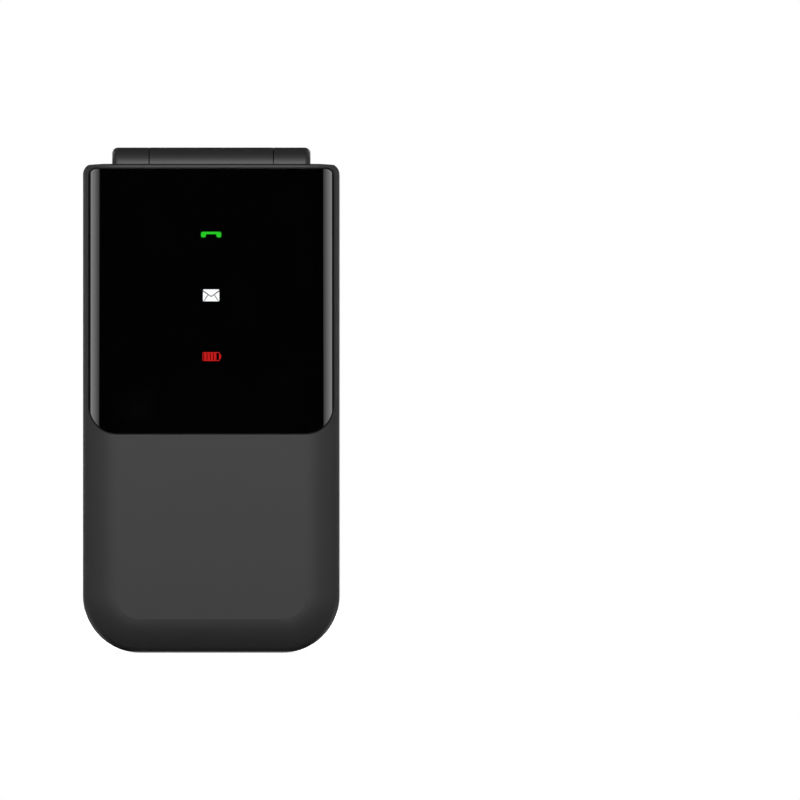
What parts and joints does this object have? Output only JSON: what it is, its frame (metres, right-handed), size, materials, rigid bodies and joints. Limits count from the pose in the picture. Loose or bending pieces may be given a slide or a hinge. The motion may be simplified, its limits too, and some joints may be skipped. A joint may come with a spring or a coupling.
{
  "type": "flip phone",
  "caption": "Slim clamshell phone with a glossy outer lens, lit status icons, barrel hinge, keypad inside, camera and flash on a lift-off back cover.",
  "frame": {"origin": "centre of the closed phone's footprint, on the plane it stands on, hinge end up", "axes": "+X to the right seen from the front lens, -Y out of the front lens, +Y out of the back cover, +Z toward the hinge"},
  "size_m": [0.052, 0.018, 0.1024],
  "materials": {
    "flip_casing": "fine matte lacquer",
    "base_casing": "fine matte lacquer",
    "front_lens": "high gloss",
    "cover_gloss": "high gloss",
    "inner_gloss": "gloss",
    "silver_trim": "satin silver plating",
    "green_light": "lit green window",
    "white_light": "lit white window",
    "red_light": "lit red window",
    "window_glass": "dark display glass",
    "display_glass": "liquid crystal stack",
    "board": "solder resist",
    "led_epoxy": "clear epoxy",
    "mesh": "etched mesh",
    "speaker_black": "moulded",
    "screw_steel": "black zinc",
    "rubber_black": "soft rubber",
    "hinge_steel": "turned",
    "spring_steel": "drawn wire",
    "flex_film": "polyimide film",
    "silicone": "silicone",
    "dome_film": "polyester film",
    "tinplate": "tinned",
    "usb_steel": "nickel plate",
    "tongue_black": "moulded",
    "tray_black": "moulded",
    "cell_can": "wrapped cell",
    "contact_black": "moulded",
    "motor_steel": "pressed",
    "camera_black": "moulded",
    "bezel_gloss": "gloss",
    "camera_glass": "coated glass",
    "flash_yellow": "frosted lens",
    "key_plastic": "satin black",
    "nav_silver": "satin silver",
    "pad_plastic": "moulded"
  },
  "bodies": {
    "base": {"base_frame": "base_casing", "rear_trim_ring": "silver_trim", "keypad_cover": "inner_gloss", "keypad_mat": "silicone", "dome_sheet": "dome_film", "main_board": "board", "shield_cans": "tinplate", "usb_port_shell": "usb_steel", "usb_port_tongue": "tongue_black", "rear_tray": "tray_black", "base_screws": "screw_steel", "battery": "cell_can", "battery_contacts": "contact_black", "sim_holder": "tinplate", "vibration_motor": "motor_steel", "camera_module": "camera_black", "hinge_cam_shaft": "hinge_steel", "hinge_pivot_pin": "hinge_steel"},
    "flip": {"flip_outer_shell": "flip_casing", "flip_front_lens": "front_lens", "call_indicator": "green_light", "message_indicator": "white_light", "battery_indicator": "red_light", "flip_inner_cover": "inner_gloss", "display_window": "window_glass", "display_panel": "display_glass", "flip_board": "board", "indicator_leds": "led_epoxy", "earpiece_grille": "mesh", "earpiece_speaker": "speaker_black", "flip_screws": "screw_steel", "flip_bumpers": "rubber_black", "hinge_cartridge": "hinge_steel", "hinge_spring": "spring_steel", "hinge_flex": "flex_film"},
    "cover": {"back_cover": "cover_gloss", "camera_bezel": "bezel_gloss", "camera_window": "camera_glass", "camera_lens": "camera_glass", "flash_ring": "bezel_gloss", "flash_lens": "flash_yellow"},
    "nav_pad": {"nav_pad": "pad_plastic"},
    "nav_ring": {"nav_ring": "nav_silver"},
    "soft_key_left": {"soft_key_left": "key_plastic"},
    "soft_key_right": {"soft_key_right": "key_plastic"},
    "call_key": {"call_key": "key_plastic"},
    "end_key": {"end_key": "key_plastic"},
    "key_1": {"key_1": "key_plastic"},
    "key_2": {"key_2": "key_plastic"},
    "key_3": {"key_3": "key_plastic"},
    "key_4": {"key_4": "key_plastic"},
    "key_5": {"key_5": "key_plastic"},
    "key_6": {"key_6": "key_plastic"},
    "key_7": {"key_7": "key_plastic"},
    "key_8": {"key_8": "key_plastic"},
    "key_9": {"key_9": "key_plastic"},
    "key_star": {"key_star": "key_plastic"},
    "key_0": {"key_0": "key_plastic"},
    "key_hash": {"key_hash": "key_plastic"},
    "ok_key": {"ok_key": "key_plastic"}
  },
  "joints": [
    {"name": "flip_hinge", "type": "hinge", "parent": "base", "child": "flip", "pos_m": [0, -0.002, 0.0983], "axis": [-1, 0, 0], "range_deg": [0, 160]},
    {"name": "cover_lift", "type": "slide", "parent": "base", "child": "cover", "axis": [0, 1, 0], "range_m": [0, 0.02]},
    {"name": "press_soft_key_left", "type": "slide", "parent": "base", "child": "soft_key_left", "axis": [0, 1, 0], "range_m": [0, 0.00025], "stiffness_N_per_m": 600},
    {"name": "press_soft_key_right", "type": "slide", "parent": "base", "child": "soft_key_right", "axis": [0, 1, 0], "range_m": [0, 0.00025], "stiffness_N_per_m": 600},
    {"name": "press_call_key", "type": "slide", "parent": "base", "child": "call_key", "axis": [0, 1, 0], "range_m": [0, 0.00025], "stiffness_N_per_m": 600},
    {"name": "press_end_key", "type": "slide", "parent": "base", "child": "end_key", "axis": [0, 1, 0], "range_m": [0, 0.00025], "stiffness_N_per_m": 600},
    {"name": "press_key_1", "type": "slide", "parent": "base", "child": "key_1", "axis": [0, 1, 0], "range_m": [0, 0.00025], "stiffness_N_per_m": 600},
    {"name": "press_key_2", "type": "slide", "parent": "base", "child": "key_2", "axis": [0, 1, 0], "range_m": [0, 0.00025], "stiffness_N_per_m": 600},
    {"name": "press_key_3", "type": "slide", "parent": "base", "child": "key_3", "axis": [0, 1, 0], "range_m": [0, 0.00025], "stiffness_N_per_m": 600},
    {"name": "press_key_4", "type": "slide", "parent": "base", "child": "key_4", "axis": [0, 1, 0], "range_m": [0, 0.00025], "stiffness_N_per_m": 600},
    {"name": "press_key_5", "type": "slide", "parent": "base", "child": "key_5", "axis": [0, 1, 0], "range_m": [0, 0.00025], "stiffness_N_per_m": 600},
    {"name": "press_key_6", "type": "slide", "parent": "base", "child": "key_6", "axis": [0, 1, 0], "range_m": [0, 0.00025], "stiffness_N_per_m": 600},
    {"name": "press_key_7", "type": "slide", "parent": "base", "child": "key_7", "axis": [0, 1, 0], "range_m": [0, 0.00025], "stiffness_N_per_m": 600},
    {"name": "press_key_8", "type": "slide", "parent": "base", "child": "key_8", "axis": [0, 1, 0], "range_m": [0, 0.00025], "stiffness_N_per_m": 600},
    {"name": "press_key_9", "type": "slide", "parent": "base", "child": "key_9", "axis": [0, 1, 0], "range_m": [0, 0.00025], "stiffness_N_per_m": 600},
    {"name": "press_key_star", "type": "slide", "parent": "base", "child": "key_star", "axis": [0, 1, 0], "range_m": [0, 0.00025], "stiffness_N_per_m": 600},
    {"name": "press_key_0", "type": "slide", "parent": "base", "child": "key_0", "axis": [0, 1, 0], "range_m": [0, 0.00025], "stiffness_N_per_m": 600},
    {"name": "press_key_hash", "type": "slide", "parent": "base", "child": "key_hash", "axis": [0, 1, 0], "range_m": [0, 0.00025], "stiffness_N_per_m": 600},
    {"name": "press_ok_key", "type": "slide", "parent": "base", "child": "ok_key", "axis": [0, 1, 0], "range_m": [0, 0.00025], "stiffness_N_per_m": 600},
    {"name": "nav_up_down", "type": "hinge", "parent": "base", "child": "nav_pad", "pos_m": [0, 0.00042, 0.073], "axis": [1, 0, 0], "range_deg": [-1, 1], "stiffness_Nm_per_rad": 0.05},
    {"name": "nav_left_right", "type": "hinge", "parent": "nav_pad", "child": "nav_ring", "pos_m": [0, -0.00028, 0.073], "axis": [0, 0, 1], "range_deg": [-1, 1], "stiffness_Nm_per_rad": 0.05}
  ]
}
